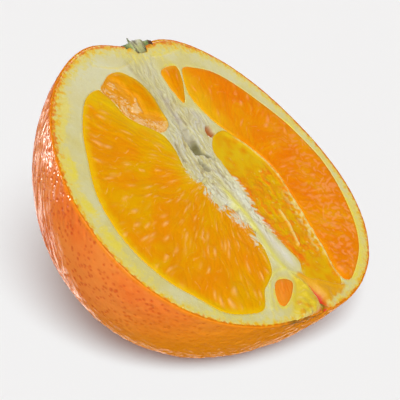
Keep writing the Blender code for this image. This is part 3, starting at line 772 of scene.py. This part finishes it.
def buildPulp(name, form):
    shape = pulpShape
    bm, x, y, inside = pulpGrid(borders[form["outline"]], shape["step"])
    relief, drops, own, u, v = sacRelief(x, y, form)
    sure, tuft, blotch = ease(inside, 0.2, 1.4), tufts(x, y), softNoise(x / 3, y / 3, 30)
    z = sure * (relief + shape["swell"] * softNoise(x / shape["swellSize"], y / shape["swellSize"], 25))
    z += shape["rise"] * (1 - np.exp(-(inside + shape["over"]) / shape["edgeWidth"]))
    z -= edgeSink(inside, tuft, shape["sink"])
    setHeights(bm, z)
    warp = [shape["warp"] * softNoise(x / 3.2, y / 3.2, pattern) for pattern in (71, 73)]
    setGrain(bm, u + warp[0], v + warp[1])
    rim = 0.65 * (1 - ease(inside + 0.5 * softNoise(x, y, 29), 0.2, 2)) * (1 - besideCore(x, y))
    frost = np.zeros(len(x))
    if name == "pulp_left":
        frost = besideCore(x, y) * (1 - ease(inside - tuft, 0, 4)) * (coreOffset(x, y) < 0)
        grainy = ease(softNoise(x / 0.5, y / 0.5, 53), 0, 0.25) * bell(np.hypot((x + 4) / 1.3, (y + 14) / 3.2), 0.9)
        drops = np.maximum(drops, 0.9 * grainy)
    if name == "pulp_right":
        rim *= (1 - ease(x + 0.5 * y, 16, 20)) * ease(y, 6, 9)
        dabs = ease(softNoise(x / 1.3 + 2 * blotch, y / 0.8, 75) + 0.5 * blotch, 0, 0.4)
        drops = np.maximum(drops, 0.7 * dabs * ease(x - 0.4 * y, 18, 33))
    if "sunny" in form:
        sunny = form["sunny"]
        away = nearLine(x, y, smoothLine(sunny["line"], closed=False))[0] + sunny["waver"] * blotch
        rim = np.maximum(rim, sunny["share"] * bell(away, sunny["width"]))
    ripe = np.maximum(0.45 * ease(softNoise(u / 6, v / 9, 27), 0, 0.5), 0.6 * bell(np.hypot(x + 8.5, y + 21), 4))
    # pale: painted highlights on the raised drops; the left pulp's grainy patch and the right pulp's dabs are painted
    # pale the same way
    setLayers(bm, own=own, frost=frost, rim=rim, pale=0.75 * drops * sure, ripe=ripe * sure)
    closeBelow(bm, shape["bottom"])
    addPiece(name, bm, pulpMaterial(name, form["colours"]))


# The film: a segment cut close to its wall, smooth above and mottled below
filmShape = {"step": 0.20, "level": -0.30, "bottom": -5.5, "mottle": 0.15, "sink": 0.15,
             "septum": [(10.5, -12.5), (10.4, -15.5), (10, -18), (9, -21.5)]}
filmLook = {"light": (218, 163, 8), "deep": (216, 134, 12), "edge": (216, 172, 16), "pale": (222, 196, 124),
            "ripe": (230, 112, 18)}


def buildFilm():
    shape = filmShape
    bm, x, y, inside = pulpGrid(borders["film"], shape["step"])
    smooth = np.maximum(ease(y + 2 * softNoise(x / 3, y / 3, 31), -3, 1.5), ease(-y, 23.5, 27))
    _, depth, own = cells(x / 1.2 + 0.4 * softNoise(x, y, 33), y / 1.5)
    patches = softNoise(x / 1.5, y / 1.7, 47)
    septum = bell(nearLine(x, y, smoothLine(shape["septum"], closed=False))[0], 0.3)
    fromRight, fromCore, tuft = insideBy(x, y, borders["rightPulp"]), coreOffset(x, y), tufts(x, y)
    wall = bell(fromRight + 0.3, 0.2) * within(-y, -9, -7, 31, 33)
    wall *= 0.8 + 0.9 * softNoise(x / 1.2, y / 1.2, 51)
    z = shape["level"] + 0.18 * softNoise(x / 5, y / 5, 35)
    z += (1 - smooth) * shape["mottle"] * (own - 0.6 * np.exp(-depth / 0.3) + patches)
    z += 0.4 * septum + 0.2 * wall + 0.25 * bell(fromRight + 0.35, 0.8)
    z -= edgeSink(inside, tuft, shape["sink"])
    setHeights(bm, z)
    setGrain(bm, 0.6 * x - 0.2 * y, 1.6 * y + 0.8 * x)

    flush = bell(nearLine(x, y, coreForms["flush"])[0], 0.75) * (0.8 + 0.7 * softNoise(x / 0.9, y / 1.4, 55))
    spots = ease(patches + 0.5 * own + 0.3 * bell(fromCore - 4, 2.5) * ease(y, -13, -9), -0.02, 0.3) * (1 - smooth)
    creamy = ease(fromRight, -3.6, -0.6) * ease(softNoise(x / 1.1, y / 1.1, 37), -0.15, 0.2)
    creamy *= ease(-y, 6, 12) * (1 - smooth)
    fluffy = 0.8 * bell(fromCore - 3.2, 1.3) * ease(softNoise(x / 0.7, y / 0.7, 49), 0, 0.3) * (y < 0)
    golden = (0.5 + 0.9 * softNoise(x / 2.6, y / 2, 81)) * smooth * ease(y, -5, 2) + 0.5 * ease(patches, 0, 0.4)
    setLayers(bm, own=0.5 * own + 3.5 * softNoise(x / 2.2, y / 2.2, 79), rim=np.clip(golden, 0, 1) * (1 - flush),
              frost=besideCore(x, y) * (1 - ease(inside - tuft, 0, 2.4)) * ease(-y, 0, 3),
              pale=0.8 * np.maximum(creamy, fluffy) + 0.8 * septum + wall, ripe=0.9 * spots + flush)
    closeBelow(bm, shape["bottom"])
    addPiece("pulp_film", bm, pulpMaterial("pulp_film", filmLook))


# The torn segment: a full lobe above, torn skin and open sacs below
tornShape = {"step": 0.20, "hollow": -0.30, "lobe": 0.50, "skin": 0.25, "spike": 0.40, "ply": 0.05, "bottom": -6}
tornLook = {"light": (222, 150, 4), "deep": (222, 136, 2), "open": (226, 142, 14), "openLight": (230, 158, 50),
            "skin": (230, 166, 88), "skinLight": (232, 192, 138), "edge": (222, 176, 30)}
tornLobe = [(-13.6, 29.8), (-11.8, 30.6), (-8.8, 30.5), (-5.8, 28.9), (-4, 26.6), (-3.4, 22), (-4.1, 19.2),
    (-5.3, 17.2), (-7.5, 18), (-9.6, 18.9), (-9.7, 20.7), (-9.4, 23.4), (-10.9, 24.3), (-10.9, 26.1), (-11.9, 27.9),
    (-12.8, 28.9)]
tornSkin = [(-17.8, 27.2), (-17.5, 25.8), (-16.4, 24.9), (-14.6, 23.6), (-13.9, 22.4), (-14.9, 20.4), (-14.6, 18.7),
    (-12.8, 17.4), (-10.6, 15.9), (-7.6, 14.4), (-5.6, 14.8)]
tornSpike = [(-9.5, 23.5), (-10.8, 22.3), (-12.4, 21.1), (-12.9, 19.8), (-10.2, 19), (-9.8, 21.1)]


def tornMaterial():
    bench = NodeBench("pulp_torn")
    look = tints(tornLook)
    plies = bench.strands((2.6, 0.6, 1), detail=4, roughness=0.65)
    crumbs, cloud = bench.noise(1.6, detail=4, roughness=0.7), bench.noise(0.35)
    opened = bench.blend(bench.spread(plies, 0.4, 0.65), look["open"], look["openLight"])
    skinTone = bench.blend(bench.spread(bench.plus(plies, bench.times(crumbs, 0.4)), 0.6, 0.85),
                           look["skin"], look["skinLight"])
    worn = bench.times(bench.spread(crumbs, 0.3, 0.7, -0.6, 0.6), bench.spread(bench.layer("skin"), 0, 0.3))
    worn = bench.spread(bench.plus(bench.layer("skin"), worn), 0.2, 0.95)
    colour = bench.blend(bench.spread(cloud, 0.35, 0.65), look["deep"], look["light"])
    colour = bench.paint(colour, ("open", opened), (worn, skinTone), ("rim", look["edge"]))
    height = bench.plus(plies, bench.times(crumbs, 0.6))
    return bench.finish(Base_Color=colour, Roughness=bench.spread(cloud, 0.3, 0.7, 0.3, 0.45),
                        Normal=bench.bump(height, 0.3, 0.0003), soft=pulpSoftness,
                        gloss={"tint": (1, 0.78, 0.58, 1), "front": 0.004, "edge": 0.05})


def buildTorn():
    shape = tornShape
    bm, x, y, inside = pulpGrid(borders["torn"], shape["step"])
    skinAway, along = nearLine(x, y, smoothLine(tornSkin, closed=False))
    wild = softNoise(x / 0.9, y / 0.9, 39)
    broken = ease(softNoise(along * 9, skinAway / 1.6, 61), -0.25, 0.15)
    skinPart = bell(skinAway + 0.5 * wild, 1.7) * (0.5 + 0.5 * broken)
    skinPart = np.maximum(skinPart, bell(np.hypot(x + 13.7, y - 27.4), 1))
    lobePart = ease(insideBy(x, y, smoothLine(tornLobe)) + 0.3 * wild, -0.2, 1.3)
    spike = ease(insideBy(x, y, smoothLine(tornSpike, steps=3)) + 0.3 * wild, -0.1, 0.5)
    ply = shape["ply"] * softNoise(skinAway * 2.2, along * 7, 41)
    z = np.maximum.reduce([0.2 * wild + ply, shape["lobe"] * lobePart + 0.12 * softNoise(x / 1.6, y / 1.6, 43),
                           shape["skin"] * skinPart + ply, shape["spike"] * spike]) + shape["hollow"]
    z += (0.1 - z) * np.exp(-np.maximum(inside, 0) / 0.35) - 0.15 * np.exp(-(inside + pulpShape["over"]) / 0.25)
    setHeights(bm, z)
    setGrain(bm, skinAway, along * 20)
    setLayers(bm, open=(1 - lobePart) * (1 - skinPart), rim=0.8 * bell(inside, 0.8) * ease(x + 0.3 * y, -4, 1),
              skin=np.maximum(skinPart * (1 - lobePart), spike))
    closeBelow(bm, shape["bottom"])
    addPiece("pulp_torn", bm, tornMaterial())


# Stem end: the green calyx with the cut stub of the stem
calyxShape = {"radius": 4.3, "lobes": 5, "lobeShare": 0.16, "thick": 0.5, "stubRadius": 2, "stubUp": 0.7,
              "stubDown": 2.6, "middle": 1, "proud": 0.35, "seat": 36.7, "rings": 26, "turns": 72,
              "spike": {"wide": 0.55, "narrow": 0.12, "long": 2.6, "foot": (-0.75, 37.9, -0.2), "lean": -82}}
calyxLook = {"green": (96, 120, 62), "pale": (150, 158, 92), "brown": (88, 50, 26), "cut": (177, 173, 116)}


def calyxMaterial():
    bench = NodeBench("orange_calyx")
    look = tints(calyxLook)
    spots = bench.noise(0.9)
    tipped = bench.plus(bench.layer("dark"), bench.vary(1.4, -0.3, 0.3, detail=2))
    colour = bench.blend(bench.spread(spots, 0.4, 0.6), look["green"], look["pale"])
    colour = bench.paint(colour, ("cut", look["cut"]), (bench.spread(tipped, 0.35, 0.75), look["brown"]))
    return bench.finish(Base_Color=colour, Roughness=bench.spread(spots, 0.3, 0.7, 0.5, 0.75),
                        Normal=bench.bump(bench.noise(2, detail=4), 0.5, 0.0002), Specular_IOR_Level=0.3)


def buildCalyx():
    shape = calyxShape
    bm = bmesh.new()
    bmesh.ops.create_grid(bm, x_segments=shape["rings"], y_segments=shape["turns"], size=0.5)
    places = np.array([vert.co[:2] for vert in bm.verts]) + 0.5
    share, around = places[:, 0], pi + places[:, 1] * pi
    lobes = shape["lobeShare"] * np.cos(around * shape["lobes"] + 0.7)
    away = share * shape["radius"] * (1 + lobes + 0.06 * softNoise(around * 3, 0, 2))
    x, z = shape["middle"] + away * np.cos(around), away * np.sin(around) + shape["proud"]
    ways = np.stack([x / shape["seat"], np.ones(x.shape), z / shape["seat"]], 1)
    ways /= np.linalg.norm(ways, axis=1)[:, None]
    stub = 1 - ease(away, shape["stubRadius"] - 0.25, shape["stubRadius"] + 0.25)
    leaf = shape["thick"] * (1 - ease(share, 0.8, 1)) + 0.12 * np.cos(around * 10 + 3 * share)
    y = skinReach(ways[:, 0], ways[:, 1]) * ways[:, 1] + leaf + 0.15
    y += stub * (shape["stubUp"] + 0.25 * softNoise(x * 1.4, z * 1.4, 4))
    for vert, place in zip(bm.verts, np.stack([x, y, z], 1).tolist()):
        vert.co = place
    bmesh.ops.remove_doubles(bm, verts=bm.verts, dist=0.01)
    out = np.array([abs(vert.co.x - shape["middle"]) for vert in bm.verts])
    front = np.array([vert.co.z > -0.9 for vert in bm.verts])
    setLayers(bm, cut=(1 - ease(out, 1.6, 2.5)) * front, dark=ease(out, shape["radius"] * 0.75, shape["radius"]))
    for vert in extrude(bm, openEdges(bm))[0]:
        under = float(1 - ease(np.array(abs(vert.co.x - shape["middle"])), 1.4, 2.4)) if vert.co.z > 0 else 0
        vert.co.y -= shape["thick"] + 0.5 + shape["stubDown"] * under
    bmesh.ops.holes_fill(bm, edges=openEdges(bm), sides=0)
    bmesh.ops.triangulate(bm, faces=[face for face in bm.faces if len(face.verts) > 4])

    spike = shape["spike"]
    leaning = Matrix.Translation(spike["foot"]) @ Matrix.Rotation(radians(spike["lean"]), 4, "X")
    tip = bmesh.ops.create_cone(bm, segments=10, radius1=spike["wide"], radius2=spike["narrow"],
                                depth=spike["long"], cap_ends=True, matrix=leaning)
    for vert in tip["verts"]:
        vert.co.x += 0.12 * (vert.co.y - spike["foot"][1]) ** 2
        vert[bm.verts.layers.float["dark"]] = 0.55
    addPiece("calyx", bm, calyxMaterial(), node="calyx")


buildPeel()
buildPith()
for name, form in segments.items():
    buildPulp(name, form)
buildFilm()
buildTorn()
buildCalyx()

# Camera, light and floor
view = {"lens": 110, "sensor": 36, "clip": (0.01, 20), "elevation": 20, "distance": 270.1, "right": -4.51,
        "up": -5.78}


def buildCamera():
    rise = radians(view["elevation"])
    back, up = Vector((0, -cos(rise), sin(rise))), Vector((0, sin(rise), cos(rise)))
    place = Vector(lie["middle"]) + back * view["distance"] + Vector((view["right"], 0, 0)) + up * view["up"]
    lens = bpy.data.cameras.new("camera")
    lens.lens = view["lens"]
    lens.sensor_width = view["sensor"]
    lens.clip_start, lens.clip_end = view["clip"]
    camera = addObject("camera", lens)
    camera.location = place / 1000
    camera.rotation_euler = (radians(90 - view["elevation"]), 0, 0)
    bpy.context.scene.camera = camera
    print("camera set")


studio = {"world": 0.29, "surroundings": (1, 0.53, 0.42), "floor": 0.87, "floorSize": 4,
          "suns": {"main": {"from": (0.10, -0.79, 0.60), "angle": 26, "power": 4.47, "colour": (0.82, 0.967, 1)},
                   "fill": {"from": (-0.35, -0.93, 0.06), "angle": 50, "power": 0.8},
                   "rim": {"from": (-0.93, 0.36, 0.06), "angle": 14, "power": 10.5, "sheen": True},
                   "spark": {"from": (0.05, 0.72, 0.69), "angle": 14, "power": 2.4, "sheen": True}}}


def buildStage():
    scene = bpy.context.scene
    scene.view_settings.view_transform = "Standard"
    world = bpy.data.worlds.new("studio")
    world.use_nodes = True
    background = world.node_tree.nodes["Background"]
    background.inputs["Color"].default_value = (*studio["surroundings"], 1)
    background.inputs["Strength"].default_value = studio["world"]
    scene.world = world
    for name, sun in studio["suns"].items():
        light = bpy.data.lights.new(name, "SUN")
        light.angle = radians(sun["angle"])
        light.energy = sun["power"]
        light.color = sun.get("colour", (1, 1, 1))
        holder = addObject(name, light)
        holder.visible_diffuse = not sun.get("sheen")  # a sheen lamp only makes highlights
        holder.rotation_euler = Vector(sun["from"]).to_track_quat("Z", "Y").to_euler()
    bm = bmesh.new()
    bmesh.ops.create_grid(bm, x_segments=1, y_segments=1, size=studio["floorSize"])
    mesh = bpy.data.meshes.new("floor")
    bm.to_mesh(mesh)
    bm.free()
    bench = NodeBench("pale_floor")
    mesh.materials.append(bench.finish(Base_Color=(*[studio["floor"]] * 3, 1), Roughness=1, Specular_IOR_Level=0))
    floor = addObject("floor", mesh)
    print("light and floor set")


buildCamera()
buildStage()
